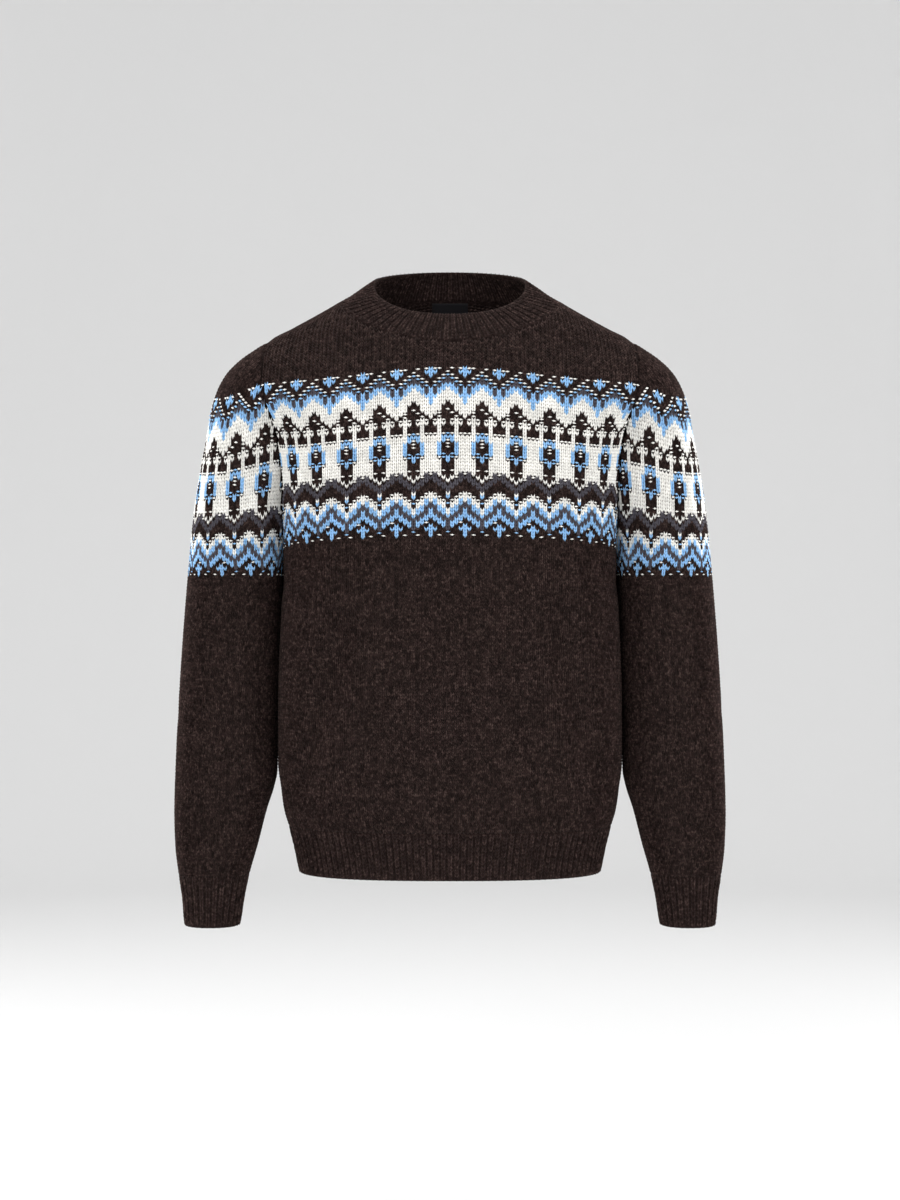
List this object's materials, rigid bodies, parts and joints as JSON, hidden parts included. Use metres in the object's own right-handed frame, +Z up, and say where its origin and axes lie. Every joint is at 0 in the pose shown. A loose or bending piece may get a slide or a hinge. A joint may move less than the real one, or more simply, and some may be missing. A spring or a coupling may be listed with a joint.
{
  "type": "fair isle jumper",
  "caption": "Crew-neck fair isle jumper, hollow and filled out as worn, with a patterned band over the chest and upper sleeves and ribbed neck, hem and cuffs.",
  "frame": {"origin": "middle of the neck's base, between the shoulders, where the wearer's shoulders hold the jumper up", "axes": "+Z up, -Y to the front of the garment, +X to the wearer's left"},
  "size_m": [0.6244, 0.2637, 0.7498],
  "materials": {
    "fair_isle_wool": "heathered dark brown wool in stocking stitch, with a band of blue, off-white and charcoal stranded pattern, matt",
    "ribbed_wool": "heathered dark brown wool in rib, matt",
    "woven_label": "bare black woven tape with a slight sheen"
  },
  "bodies": {
    "root": {"front_panel": "fair_isle_wool", "back_panel": "fair_isle_wool", "sleeve_left": "fair_isle_wool", "sleeve_right": "fair_isle_wool", "neckband": "ribbed_wool", "hem_rib": "ribbed_wool", "cuff_left": "ribbed_wool", "cuff_right": "ribbed_wool", "neck_label": "woven_label"}
  },
  "joints": []
}
